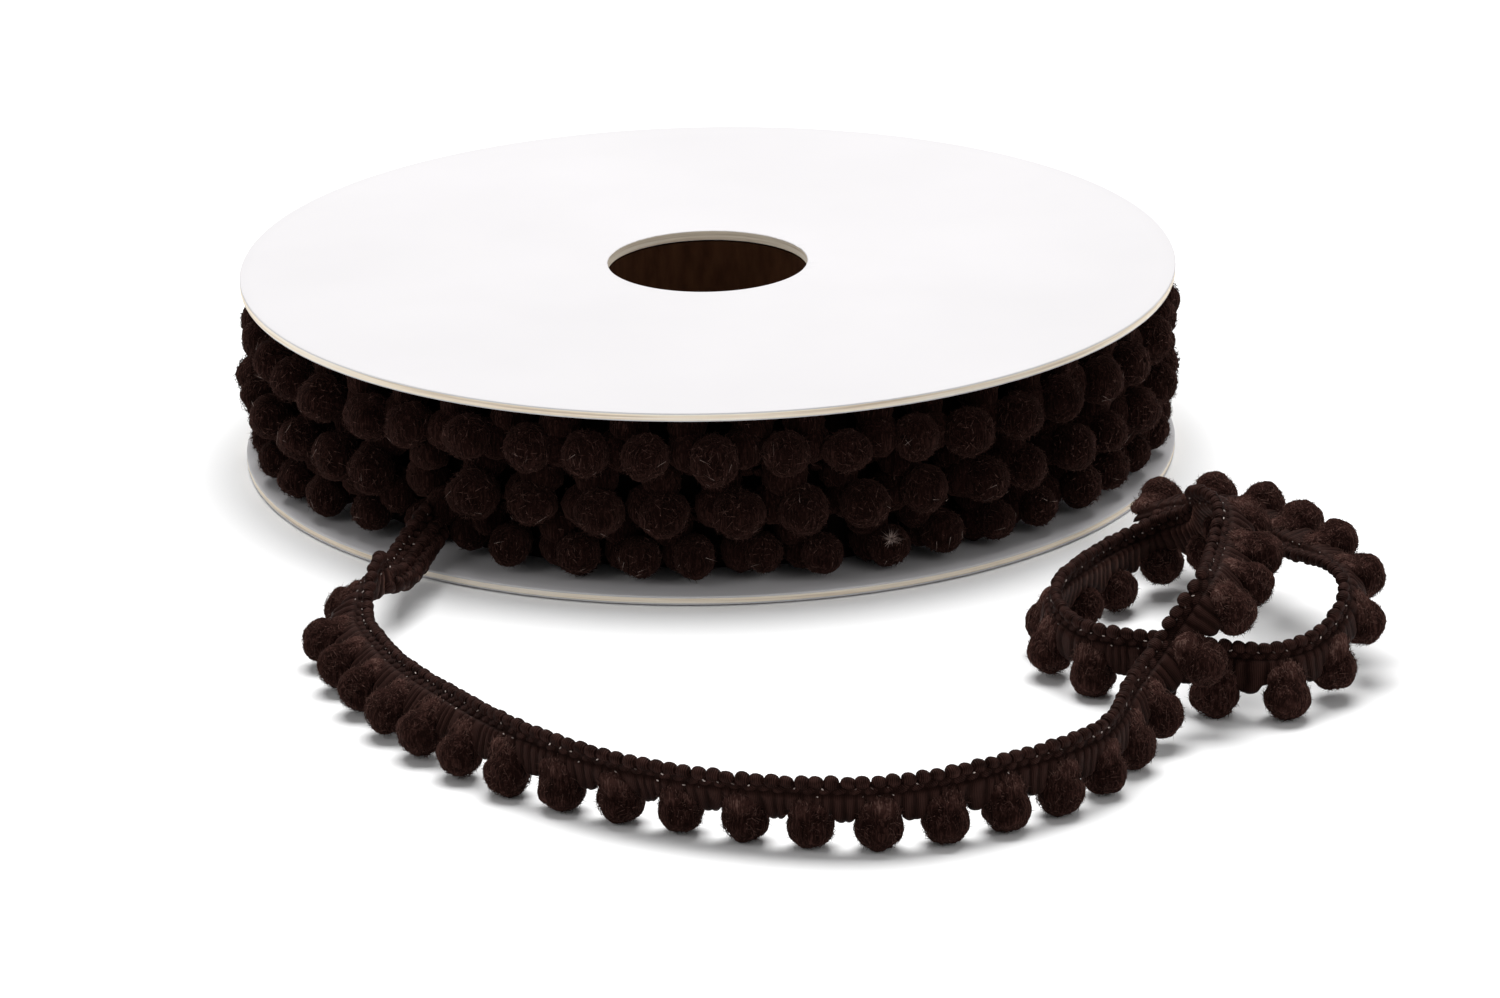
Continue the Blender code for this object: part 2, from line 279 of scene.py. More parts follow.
# Core tube
# A short tube rolled from brown paper strip, glued between the discs in line with their holes.
core_low, core_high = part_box("core_tube")
CORE_OUTER = 0.5 * (core_high[0] - core_low[0])
CORE_STEPS = 128
core_profile = (
    (HOLE_RADIUS, core_low[2]), (CORE_OUTER, core_low[2]),
    (CORE_OUTER, core_high[2]), (HOLE_RADIUS, core_high[2]))
brown_card, shader, links = new_material("brown_tube_paper_painted_shade")
fibres = place_effect(
    brown_card, fibre_grain, Scale=500.0, Detail=4.0, Stretch=(1.0, 1.0, 0.3))
# The paper is coloured far darker than brown paper, as painted shade deep inside the tube.
links.new(colour_ramp(brown_card, links, fibres, (
    (0.3, (0.030, 0.010, 0.0035)), (0.7, (0.055, 0.021, 0.0085)))), shader.inputs["Base Color"])
shader.inputs["Roughness"].default_value = 0.8
shader.inputs["Specular IOR Level"].default_value = 0.08
add_bump(brown_card, links, shader, fibres, 0.3, 0.1 * MM)
core = add_piece("core_wall", lathe(core_profile, CORE_STEPS), [brown_card])
core.data.set_sharp_from_angle(angle=CREASE)
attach(core, "root")
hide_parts("core_tube")

# Wound trim
# Many turns of the trim lie side by side between the discs: dark wrapped bands, two corded
# rows to each course, and the pompoms of the outer turns pushed through in three rows. Heights,
# middles and radii are in millimetres, and turns in degrees round the reel.
PITCH = 11.64 * MM
COURSES = (
    {"height": 26.3, "middle": 84.0, "radius": 4.8, "count": 43, "turn": 1.0},
    {"height": 15.9, "middle": 84.2, "radius": 4.8, "count": 43, "turn": 2.4},
    {"height": 6.9, "middle": 83.4, "radius": 4.3, "count": 45, "turn": -1.9},
)
SIDE_BULGE = 2.2 * MM
FIBRE_DIRECTIONS = ((0.0, 0.0, 0.0), (1.4, 0.3, 0.0), (0.7, 1.2, 0.4), (-0.8, 0.9, 1.1))
FIBRE_DRAWN_OUT = 0.13
FIBRE_FROM, FIBRE_TO = 0.57, 0.70

crossing_fibres, given, result = effect_group(
    "crossing_fibres", (("Scale", "NodeSocketFloat", 2400.0),), "Fibres")
place = crossing_fibres.nodes.new("ShaderNodeTexCoord")
brightest = None
for direction in FIBRE_DIRECTIONS:
    mapping = crossing_fibres.nodes.new("ShaderNodeMapping")
    mapping.inputs["Rotation"].default_value = direction
    mapping.inputs["Scale"].default_value = (1.0, 1.0, FIBRE_DRAWN_OUT)
    texture = crossing_fibres.nodes.new("ShaderNodeTexNoise")
    texture.inputs["Detail"].default_value = 1.0
    thin = crossing_fibres.nodes.new("ShaderNodeMapRange")
    thin.inputs["From Min"].default_value = FIBRE_FROM
    thin.inputs["From Max"].default_value = FIBRE_TO
    crossing_fibres.links.new(place.outputs["Object"], mapping.inputs["Vector"])
    crossing_fibres.links.new(mapping.outputs["Vector"], texture.inputs["Vector"])
    crossing_fibres.links.new(given.outputs["Scale"], texture.inputs["Scale"])
    crossing_fibres.links.new(texture.outputs["Fac"], thin.inputs["Value"])
    if brightest is None:
        brightest = thin.outputs["Result"]
        continue
    larger = crossing_fibres.nodes.new("ShaderNodeMath")
    larger.operation = "MAXIMUM"
    crossing_fibres.links.new(brightest, larger.inputs[0])
    crossing_fibres.links.new(thin.outputs["Result"], larger.inputs[1])
    brightest = larger.outputs[0]
crossing_fibres.links.new(brightest, result.inputs["Fibres"])


def weighted_sum(material, links, value, weight, base):
    """The value times the weight, added to the base."""
    node = material.node_tree.nodes.new("ShaderNodeMath")
    node.operation = "MULTIPLY_ADD"
    node.inputs[1].default_value = weight
    links.new(value, node.inputs[0])
    links.new(base, node.inputs[2])
    return node.outputs[0]


yarn, shader, links = new_material("chocolate_yarn")
tone = yarn.node_tree.nodes.new("ShaderNodeAttribute")
tone.attribute_name = "tone"
fuzz = place_effect(yarn, fibre_grain, Scale=2200.0, Detail=4.0)
fibres = place_effect(yarn, crossing_fibres, Scale=2300.0)
yarn_tone = weighted_sum(yarn, links, fuzz, 0.30, tone.outputs["Fac"])
yarn_tone = weighted_sum(yarn, links, fibres, 0.26, yarn_tone)
links.new(colour_ramp(yarn, links, yarn_tone, (
    (0.15, (0.0042, 0.0015, 0.0011)), (0.45, (0.0135, 0.0052, 0.0041)),
    (0.72, (0.042, 0.0185, 0.0150)), (1.0, (0.120, 0.068, 0.056)))),
    shader.inputs["Base Color"])
shader.inputs["Roughness"].default_value = 0.95
shader.inputs["Specular IOR Level"].default_value = 0.02
shader.inputs["Sheen Weight"].default_value = 0.09
shader.inputs["Sheen Roughness"].default_value = 0.45
shader.inputs["Sheen Tint"].default_value = (0.80, 0.40, 0.32, 1.0)
add_bump(yarn, links, shader, weighted_sum(yarn, links, fibres, 0.8, fuzz), 0.9, 0.25 * MM)


def smooth_step(value):
    value = min(max(value, 0.0), 1.0)
    return value * value * (3.0 - 2.0 * value)


def tone_layer(shape):
    """The value at each point that the yarn's colour starts from."""
    layer = shape.verts.layers.float.get("tone")
    return layer or shape.verts.layers.float.new("tone")


BALL = 0.97
THUMB_HALF_SIZES = (0.88, 0.40, 0.80)
THUMB_PLACE = (0.0, 0.24, 0.76)
SKIN_VOXEL = 0.095
SKIN_SMOOTHINGS = 3
LUMPS = 0.13
NAP = 0.035
HAIR_THICKNESS = 0.019


def ball_and_thumb():
    """A ball of radius 1 with a thumb of yarn drawn up its front, melted into one skin."""
    shape = bmesh.new()
    bmesh.ops.create_icosphere(shape, subdivisions=4, radius=BALL)
    thumb = bmesh.ops.create_icosphere(shape, subdivisions=3, radius=1.0)["verts"]
    bmesh.ops.scale(shape, verts=thumb, vec=THUMB_HALF_SIZES)
    bmesh.ops.translate(shape, verts=thumb, vec=THUMB_PLACE)
    mesh = bpy.data.meshes.new("ball_and_thumb")
    shape.to_mesh(mesh)
    helper = bpy.data.objects.new("ball_and_thumb", mesh)
    bpy.context.scene.collection.objects.link(helper)
    skin = helper.modifiers.new("skin", "REMESH")
    skin.mode = "VOXEL"
    skin.voxel_size = SKIN_VOXEL
    graph = bpy.context.evaluated_depsgraph_get()
    melted = bpy.data.meshes.new_from_object(helper.evaluated_get(graph))
    shape.clear()
    shape.from_mesh(melted)
    for _ in range(SKIN_SMOOTHINGS):
        bmesh.ops.smooth_vert(shape, verts=shape.verts, factor=0.5,
                              use_axis_x=True, use_axis_y=True, use_axis_z=True)
    bpy.data.objects.remove(helper)
    bpy.data.meshes.remove(mesh)
    bpy.data.meshes.remove(melted)
    return shape


def add_hair(shape, root, lie, length, thick):
    """A hair from its root to its tip, as a thin cone of three sides."""
    turn = lie.to_track_quat("Z", "Y").to_matrix().to_4x4()
    made = bmesh.ops.create_cone(
        shape, cap_ends=True, segments=3, radius1=thick, radius2=0.0, depth=length,
        matrix=Matrix.Translation(root + lie * length * 0.5) @ turn)
    return made["verts"]


def thumb_share(place):
    """0 on the ball, rising to 1 at the top of its thumb."""
    return smooth_step((place.z - 0.6) / 0.8)


def pompom_template(name, hairs, seed, detail=3, thumb=False, painted_lighting=0.0):
    """One pompom of radius 1: a lumpy ball under short crossing hairs, a thumb on top if asked,
    its tone shifted as painted light or shade.
    """
    draw = random.Random(seed)
    if thumb:
        shape = ball_and_thumb()
    else:
        shape = bmesh.new()
        bmesh.ops.create_icosphere(shape, subdivisions=detail, radius=BALL)
    layer = tone_layer(shape)
    offset = Vector((seed * 7.3, 0.0, 0.0))
    shape.normal_update()
    skin = [(point.co.copy(), point.normal.copy()) for point in shape.verts]
    for point in shape.verts:
        lumps = noise.noise(point.co * 1.5 + offset) * LUMPS
        nap = noise.noise(point.co * 8.0 + offset) * NAP
        rise = thumb_share(point.co) if thumb else 0.0
        # The thumb is painted lighter towards its top, as painted light where it faces up; the
        # rest of the tone varies at random.
        point[layer] = 0.13 + painted_lighting + 0.22 * noise.noise(point.co * 3.0 + offset) + 0.26 * rise
        point.co += point.normal * (lumps + nap)
    for _ in range(hairs):
        root, outward = draw.choice(skin)
        side = outward.orthogonal().normalized()
        side = Matrix.Rotation(draw.uniform(0.0, 2.0 * math.pi), 3, outward) @ side
        rise = thumb_share(root) if thumb else 0.0
        side = side.lerp(Vector((0.0, 0.0, 1.0 if draw.random() < 0.5 else -1.0)), 0.75 * rise)
        stand = draw.uniform(0.02, 0.60) if draw.random() < 0.85 else draw.uniform(0.6, 1.6)
        lie = (side + outward * stand * (1.0 - 0.6 * rise)).normalized()
        length = draw.uniform(0.16, 0.48)
        root = root + outward * draw.uniform(-0.03, 0.03) - lie * length * 0.35
        made = add_hair(shape, root, lie, length, HAIR_THICKNESS)
        # Hairs on the thumb's top are painted lighter too, as painted light.
        shade = 0.12 + 0.75 * draw.random() ** 1.6 + 0.12 * (draw.random() < 0.08)
        for point in made:
            point[layer] = shade + painted_lighting + 0.14 * rise
    mesh = bpy.data.meshes.new(name)
    shape.to_mesh(mesh)
    shape.free()
    return mesh


def add_copy(shape, template, placement):
    copy = template.copy()
    copy.transform(placement)
    shape.from_mesh(copy)
    bpy.data.meshes.remove(copy)


winding_low, winding_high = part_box("wound_trim")
DRUM_RADIUS = 75.5 * MM
DRUM_STEPS = 96
# The turns beneath are trim, but their floss is coloured darker than the loose band's, as painted
# shade deep in the winding.
shaded_floss, shader, links = new_material("floss_painted_shade")
strand_noise = place_effect(shaded_floss, fibre_grain, Scale=1500.0, Stretch=(1.0, 1.0, 0.15))
links.new(colour_ramp(shaded_floss, links, strand_noise, (
    (0.3, (0.003, 0.0012, 0.0009)), (0.75, (0.009, 0.0038, 0.0030)))),
    shader.inputs["Base Color"])
shader.inputs["Roughness"].default_value = 0.7
shader.inputs["Specular IOR Level"].default_value = 0.04
add_bump(shaded_floss, links, shader, strand_noise, 0.8, 0.3 * MM)
drum_profile = (
    (CORE_OUTER + 0.3 * MM, winding_low[2]), (DRUM_RADIUS, winding_low[2]),
    (DRUM_RADIUS, winding_high[2]), (CORE_OUTER + 0.3 * MM, winding_high[2]))
drum = add_piece("inner_turns", lathe(drum_profile, DRUM_STEPS), [shaded_floss])
drum.data.set_sharp_from_angle(angle=CREASE)
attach(drum, "root")
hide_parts("wound_trim")

# Route of the loose end
# It is one length of the same trim: unrolled from the left, laid across the front and turned
# back on itself in a raised loop. Distances are in millimetres from the reel's axis, and the
# lean of its corded edge is in degrees from upright.
FIRST_POMPOM = 42.5 * MM
BARE_LENGTH = FIRST_POMPOM - 0.5 * PITCH
TRIM_BELOW = 9.5 * MM
POMPOM_RADIUS = 4.1 * MM
LOOSE_RUN = (
    {"across": -50.5, "along": -65.4, "lift": 0, "lean": 25},
    {"across": -55, "along": -79, "lift": 0, "lean": 65},
    {"across": -57, "along": -89, "lift": 0, "lean": 55},
    {"across": -60, "along": -98, "lift": 0.5, "lean": 10},
    {"across": -63, "along": -104, "lift": 1.5, "lean": -35},
    {"across": -65, "along": -114, "lift": 1, "lean": -65},
    {"across": -63, "along": -124, "lift": 0.5, "lean": -60},
    {"across": -58, "along": -139, "lift": 0.5, "lean": -55},
    {"across": -49, "along": -157, "lift": 0.5, "lean": -45},
    {"across": -37, "along": -176, "lift": 0, "lean": -15},
    {"across": -19, "along": -192, "lift": 0, "lean": 15},
    {"across": 4, "along": -203, "lift": 0, "lean": 20},
    {"across": 29, "along": -207, "lift": 0, "lean": 10},
    {"across": 50, "along": -198, "lift": 0, "lean": 0},
    {"across": 66, "along": -183, "lift": 0, "lean": 0},
    {"across": 72, "along": -167, "lift": 1, "lean": -20},
    {"across": 79, "along": -155, "lift": 5.5, "lean": -35},
    {"across": 86, "along": -150, "lift": 14.5, "lean": -35},
    {"across": 90, "along": -134, "lift": 16.5, "lean": -65},
    {"across": 92, "along": -118, "lift": 18.5, "lean": -50},
    {"across": 88, "along": -104, "lift": 14, "lean": -35},
    {"across": 87, "along": -94, "lift": 5.5, "lean": -10},
    {"across": 81, "along": -89, "lift": 2, "lean": -10},
    {"across": 74, "along": -94, "lift": 0.5, "lean": 5},
    {"across": 66, "along": -107, "lift": 1, "lean": 0},
    {"across": 60, "along": -120, "lift": 1.5, "lean": -15},
    {"across": 64, "along": -136, "lift": 0, "lean": 0},
    {"across": 81, "along": -145, "lift": 0, "lean": -5},
    {"across": 98, "along": -150, "lift": 0, "lean": -15},
    {"across": 107, "along": -143, "lift": 1.5, "lean": 0},
    {"across": 112, "along": -132, "lift": 6.5, "lean": -25},
    {"across": 109, "along": -117, "lift": 12, "lean": -80},
    {"across": 101, "along": -99, "lift": 13, "lean": -105},
    {"across": 91, "along": -84, "lift": 12, "lean": -95},
    {"across": 79, "along": -74, "lift": 7.5, "lean": -100},
)
SPLINE_STEPS = 24
DIRECTION_REACH = 0.5 * MM


def smooth_run(rows):
    """A natural cubic spline through the rows, with the length up to each point on it."""
    hang = TRIM_BELOW - POMPOM_RADIUS
    points = np.array([
        (row["across"] * MM + REEL_X, row["along"] * MM + REEL_Y,
         row["lift"] * MM + POMPOM_RADIUS + hang * math.cos(math.radians(row["lean"])),
         math.radians(row["lean"])) for row in rows])
    chords = np.linalg.norm(np.diff(points[:, :3], axis=0), axis=1)
    count = len(points)
    system = np.eye(count)
    target = np.zeros(points.shape)
    for index in range(1, count - 1):
        before, after = chords[index - 1], chords[index]
        system[index, index - 1:index + 2] = (before, 2.0 * (before + after), after)
        target[index] = 6.0 * (
            (points[index + 1] - points[index]) / after
            - (points[index] - points[index - 1]) / before)
    bends = np.linalg.solve(system, target)
    fine = []
    for index in range(count - 1):
        width = chords[index]
        for done in np.linspace(0.0, width, SPLINE_STEPS, endpoint=index == count - 2):
            left = width - done
            fine.append(
                bends[index] * (left ** 3 / (6.0 * width) - width * left / 6.0)
                + bends[index + 1] * (done ** 3 / (6.0 * width) - width * done / 6.0)
                + points[index] * left / width + points[index + 1] * done / width)
    fine = np.array(fine)
    steps = np.linalg.norm(np.diff(fine[:, :3], axis=0), axis=1)
    return fine, np.concatenate([[0.0], np.cumsum(steps)])


run_points, run_length = smooth_run(LOOSE_RUN)
LOOSE_LENGTH = float(run_length[-1])


def run_frame(distance):
    """Place on the run, its direction, the trim's front and the way its corded edge points."""
    near = [distance - DIRECTION_REACH, distance, distance + DIRECTION_REACH]
    ends = np.stack([np.interp(near, run_length, column) for column in run_points.T], axis=1)
    place = Vector(ends[1][:3])
    direction = Vector(ends[2][:3] - ends[0][:3]).normalized()
    side = direction.cross(Vector((0.0, 0.0, 1.0))).normalized()
    upward = side.cross(direction)
    lean = ends[1][3]
    edgeward = upward * math.cos(lean) + side * math.sin(lean)
    return place, direction, direction.cross(edgeward).normalized(), edgeward


def axes(direction, front, edgeward, place):
    return Matrix.Translation(place) @ Matrix((direction, front, edgeward)).transposed().to_4x4()


# Pompoms of the winding
# Each outer turn shows its pompoms, packed side by side in rows; the turns below show theirs
# in the gaps. They are cut from thick soft yarn and trimmed round.
ROW_HAIRS = 480
DEEP_HAIRS = 60
FULL_TURN = 6.28
EXIT_FROM_START = 6.0 * MM
OUTER_CLEARANCE = 6.8 * MM
DEEP_CLEARANCE = 8.5 * MM
# The winding's pompoms are painted a little darker, as painted shade under the top disc.
row_templates = [pompom_template("row_pompom_%d" % seed, ROW_HAIRS, seed, painted_lighting=-0.03)
                 for seed in (1, 2, 3, 4)]
deep_templates = [pompom_template("deep_pompom_%d" % seed, DEEP_HAIRS, seed, detail=2)
                  for seed in (5, 6)]
exit_point = run_frame(EXIT_FROM_START)[0]
outer_places = []
for index, course in enumerate(COURSES):
    scatter = random.Random(index + 1)
    twist = random.Random(index + 40)
    shape = bmesh.new()
    tone_layer(shape)
    for number in range(course["count"]):
        turn = math.radians(course["turn"] + 0.9 * scatter.uniform(-1.0, 1.0))
        turn += 2.0 * math.pi * number / course["count"]
        radius = (course["radius"] + 0.35 * scatter.uniform(-1.0, 0.4)) * MM
        middle = (course["middle"] + 0.9 * scatter.uniform(-1.0, 0.8)) * MM
        middle += SIDE_BULGE * math.sin(turn) ** 4
        height = (course["height"] + 0.9 * scatter.uniform(-0.5, 0.9)) * MM
        place = Vector((
            REEL_X + middle * math.sin(turn), REEL_Y - middle * math.cos(turn), height))
        if (place - exit_point).length < radius + OUTER_CLEARANCE:
            continue
        spin = Matrix.Rotation(twist.uniform(0.0, FULL_TURN), 4, "X")
        spin = spin @ Matrix.Rotation(twist.uniform(0.0, FULL_TURN), 4, "Y")
        spin = spin @ Matrix.Rotation(twist.uniform(0.0, FULL_TURN), 4, "Z")
        size = Matrix.Diagonal((
            radius * twist.uniform(0.92, 1.05), radius, radius * twist.uniform(0.92, 1.04), 1.0))
        placement = Matrix.Translation(place) @ Matrix.Rotation(turn, 4, "Z") @ size @ spin
        add_copy(shape, twist.choice(row_templates), placement)
        outer_places.append((place, radius, turn))
    row = add_piece("pompom_row_%d" % (index + 1), shape, [yarn])
    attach(row, "root")
    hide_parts("wound_trim")

DEEP_ROWS = (
    {"height": 31.0, "middle": 78.6, "radius": 4.1, "count": 43, "turn": 4.9},
    {"height": 26.6, "middle": 79.4, "radius": 4.5, "count": 43, "turn": 5.2},
    {"height": 21.2, "middle": 79.6, "radius": 4.4, "count": 43, "turn": 1.2},
    {"height": 16.2, "middle": 79.8, "radius": 4.5, "count": 43, "turn": 0.4},
    {"height": 11.2, "middle": 79.4, "radius": 4.4, "count": 43, "turn": 3.6},
    {"height": 6.9, "middle": 79.2, "radius": 4.3, "count": 45, "turn": 4.4},
)
shape = bmesh.new()
tone_layer(shape)
scatter = random.Random(77)
for course in DEEP_ROWS:
    for number in range(course["count"]):
        turn = 2.0 * math.pi * (number + scatter.uniform(-0.15, 0.15)) / course["count"]
        turn += math.radians(course["turn"])
        middle = (course["middle"] + scatter.uniform(-0.9, 0.9)) * MM
        middle += SIDE_BULGE * math.sin(turn) ** 4
        place = Vector((
            REEL_X + middle * math.sin(turn), REEL_Y - middle * math.cos(turn),
            (course["height"] + scatter.uniform(-0.5, 0.5)) * MM))
        size = course["radius"] * scatter.uniform(0.92, 1.02) * MM
        spin = Matrix.Rotation(scatter.uniform(0.0, FULL_TURN), 4, "X")
        spin = spin @ Matrix.Rotation(scatter.uniform(0.0, FULL_TURN), 4, "Z")
        if (place - exit_point).length < DEEP_CLEARANCE:
            continue
        add_copy(shape, scatter.choice(deep_templates),
                 Matrix.Translation(place) @ Matrix.Scale(size, 4) @ spin)
deep = add_piece("pompoms_of_lower_turns", shape, [yarn])
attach(deep, "root")
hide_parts("wound_trim")

# Stray fluff
# Single pale hairs of the spun yarn lie over the pompoms, and one bottom pompom holds a tuft of
# lint, as trim picks up in a shop.
fluff, shader, links = new_material("pale_fluff")
fluff_tone = place_effect(fluff, fibre_grain, Scale=400.0)
links.new(colour_ramp(fluff, links, fluff_tone, (
    (0.35, (0.13, 0.080, 0.068)), (0.65, (0.46, 0.36, 0.32)))), shader.inputs["Base Color"])
shader.inputs["Roughness"].default_value = 0.8
shader.inputs["Specular IOR Level"].default_value = 0.1


def any_way(draw):
    return Vector([draw.gauss(0.0, 1.0) for _ in range(3)]).normalized()


STRAY_HAIRS = 150
STRAY_THICKNESS = 0.05 * MM
TUFT_HAIRS = 90
TUFT_THICKNESS = 0.07 * MM
TUFT_TURN = math.radians(20.6)
BOTTOM_ROW_TOP = 9.0 * MM
shape = bmesh.new()
draw = random.Random(31)
for _ in range(STRAY_HAIRS):
    place, radius, turn = draw.choice(outer_places)
    outward = Vector((math.sin(turn), -math.cos(turn), 0.0))
    spot = (outward * 1.3 + any_way(draw)).normalized()
    lie = (spot.cross(any_way(draw)).normalized() + spot * draw.uniform(0.0, 0.3)).normalized()
    length = draw.uniform(1.2, 3.2) * MM
    root = place + spot * radius * 1.03 - lie * 0.4 * length
    add_hair(shape, root, lie, length, STRAY_THICKNESS)
place, radius, turn = min(
    (entry for entry in outer_places if entry[0].z < BOTTOM_ROW_TOP),
    key=lambda entry: abs(entry[2] - TUFT_TURN))
outward = Vector((math.sin(turn), -math.cos(turn), 0.0))
leftward = Vector((-math.cos(turn), -math.sin(turn), 0.0))
spot = (outward + leftward * 0.3 + Vector((0.0, 0.0, 0.7))).normalized()
for _ in range(TUFT_HAIRS):
    lie = (any_way(draw) + spot * 0.35).normalized()
    length = draw.uniform(0.8, 3.0) * MM
    add_hair(shape, place + spot * radius * 1.04, lie, length, TUFT_THICKNESS)
strays = add_piece("stray_fluff", shape, [fluff])
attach(strays, "root")
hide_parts("wound_trim")

# Corded rows
# The trim's heading: two rows of tightly knotted, wrapped cord side by side. On the winding
# they run behind the pompoms of the course above. The bare start shows two rows more.
KNOTS_TO_A_POMPOM = 4.6
KNOT_PITCH = PITCH / KNOTS_TO_A_POMPOM
cord_yarn, shader, links = new_material("knotted_cord")
yarn_wraps, given, result = effect_group("yarn_wraps", (
    ("Distortion", "NodeSocketFloat", 0.6), ("Detail", "NodeSocketFloat", 2.0)), "Wraps")
wound_map = yarn_wraps.nodes.new("ShaderNodeUVMap")
wound_map.uv_map = "wraps"
wave = yarn_wraps.nodes.new("ShaderNodeTexWave")
wave.inputs["Scale"].default_value = 1.0
yarn_wraps.links.new(wound_map.outputs["UV"], wave.inputs["Vector"])
yarn_wraps.links.new(given.outputs["Distortion"], wave.inputs["Distortion"])
yarn_wraps.links.new(given.outputs["Detail"], wave.inputs["Detail"])
yarn_wraps.links.new(wave.outputs["Fac"], result.inputs["Wraps"])

wraps = place_effect(cord_yarn, yarn_wraps, Distortion=0.8)
cord_grain = place_effect(cord_yarn, fibre_grain, Scale=700.0)
cord_tone = weighted_sum(cord_yarn, links, wraps, 0.30, cord_grain)
links.new(colour_ramp(cord_yarn, links, cord_tone, (
    (0.40, (0.0045, 0.0017, 0.0013)), (0.62, (0.0150, 0.0060, 0.0048)),
    (0.90, (0.0380, 0.0170, 0.0140)))), shader.inputs["Base Color"])
add_bump(cord_yarn, links, shader, wraps, 0.8, 0.10 * MM)
shader.inputs["Roughness"].default_value = 0.60
shader.inputs["Specular IOR Level"].default_value = 0.06
shader.inputs["Specular Tint"].default_value = (1.0, 0.60, 0.48, 1.0)


def knot_template(name, sides, rings):
    """One knot of radius 1: a blunt bead, its wraps running round its long axis X."""
    shape = bmesh.new()
    bmesh.ops.create_uvsphere(shape, u_segments=sides, v_segments=rings, radius=1.0)
    bmesh.ops.rotate(
        shape, verts=shape.verts, matrix=Matrix.Rotation(math.pi / 2.0, 3, "Y"))
    layer = shape.loops.layers.uv.new("wraps")
    for face in shape.faces:
        for loop in face.loops:
            loop[layer].uv = (loop.vert.co.x * 1.2 + 0.35 * loop.vert.co.z, loop.vert.co.z)
    for point in shape.verts:
        blunt = abs(point.co.x) ** 1.5
        point.co.y *= 1.0 + 0.12 * blunt
        point.co.z *= 1.0 + 0.12 * blunt
    mesh = bpy.data.meshes.new(name)
    shape.to_mesh(mesh)
    shape.free()
    return mesh


wound_knot = knot_template("wound_knot", 6, 4)
loose_knot = knot_template("loose_knot", 12, 7)
shape = bmesh.new()
scatter = random.Random(5)
HEADING_RADIUS = 79.2 * MM
HEADING_TOP = 34.0
HEADING_CLEARANCE = 9.0 * MM
KNOT_HALF_LENGTH = 1.45 * MM
for course in COURSES:
    for row, above in enumerate((8.1, 6.3)):
        count = int(2.0 * math.pi * HEADING_RADIUS / KNOT_PITCH)
        for number in range(count):
            turn = 2.0 * math.pi * (number + 0.5 * row) / count
            height = min(course["height"] + above, HEADING_TOP) + 0.15 * scatter.uniform(-1.0, 1.0)
            radius = HEADING_RADIUS + 0.5 * math.sin(9.0 * turn) * MM
            place = Vector((
                REEL_X + radius * math.sin(turn), REEL_Y - radius * math.cos(turn), height * MM))
            if (place - exit_point).length < HEADING_CLEARANCE:
                continue
            thick = (0.95 if number % 2 else 0.8) * MM
            add_copy(shape, wound_knot, Matrix.Translation(place)
                     @ Matrix.Rotation(turn, 4, "Z")
                     @ Matrix.Diagonal((KNOT_HALF_LENGTH, thick, thick, 1.0)))
headings = add_piece("wound_headings", shape, [cord_yarn])
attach(headings, "root")
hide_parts("wound_trim")

shape = bmesh.new()
scatter = random.Random(6)
BARE_KNOTS_LARGER = 1.15
KNOT_ROWS = (
    {"rise": 3.50, "half": 1.36, "big": 1.14, "small": 1.04, "deep": 1.10, "shift": 0.0,
     "slant": 16.0, "reach": LOOSE_LENGTH},
    {"rise": 1.98, "half": 1.32, "big": 0.96, "small": 0.86, "deep": 0.86, "shift": 0.5,
     "slant": -24.0, "reach": LOOSE_LENGTH},
    {"rise": 0.20, "half": 1.50, "big": 1.30, "small": 1.12, "deep": 1.32, "shift": 0.1,
     "slant": 20.0, "reach": BARE_LENGTH},
    {"rise": -1.95, "half": 1.50, "big": 1.36, "small": 1.16, "deep": 1.30, "shift": 0.6,
     "slant": -20.0, "reach": BARE_LENGTH},
)
for row in KNOT_ROWS:
    for number in range(int(row["reach"] / KNOT_PITCH) - 1):
        distance = (number + 0.6 + row["shift"] + 0.06 * scatter.uniform(-1.0, 1.0)) * KNOT_PITCH
        place, direction, front, edgeward = run_frame(distance)
        thick = (row["big"] if number % 2 else row["small"]) * MM * scatter.uniform(0.93, 1.07)
        if distance < BARE_LENGTH:
            thick *= BARE_KNOTS_LARGER
        place = place + edgeward * row["rise"] * MM + front * scatter.uniform(-0.1, 0.1) * MM
        slant = math.radians(row["slant"] + scatter.uniform(-7.0, 7.0))
        add_copy(shape, loose_knot, axes(direction, front, edgeward, place)
                 @ Matrix.Rotation(slant, 4, "Y")
                 @ Matrix.Diagonal((row["half"] * MM, row["deep"] * thick, thick, 1.0)))
knots = add_piece("loose_knots", shape, [cord_yarn])
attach(knots, "root")
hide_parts("loose_heading")

# Chain stitch
# A fine pale thread is stitched along the heading between its two rows; only short glinting
# bits of it show between the knots.
stitch_thread, shader, links = new_material("pale_stitch_thread")
stitch_tone = place_effect(stitch_thread, fibre_grain, Scale=300.0)
links.new(colour_ramp(stitch_thread, links, stitch_tone, (
    (0.42, (0.05, 0.027, 0.020)), (0.62, (0.55, 0.46, 0.42)))), shader.inputs["Base Color"])
shader.inputs["Roughness"].default_value = 0.3
STITCH_THICKNESS = 0.12 * MM
STITCH_RUNS = (
    {"rise": 2.80, "depth": 0.86, "shift": 1.1, "share": 0.55},
    {"rise": 1.30, "depth": 1.05, "shift": 0.6, "share": 0.22},
)
stitch_shape = bmesh.new()
bmesh.ops.create_uvsphere(stitch_shape, u_segments=6, v_segments=4, radius=1.0)
stitch = bpy.data.meshes.new("stitch")
stitch_shape.to_mesh(stitch)
stitch_shape.free()
shape = bmesh.new()
scatter = random.Random(9)
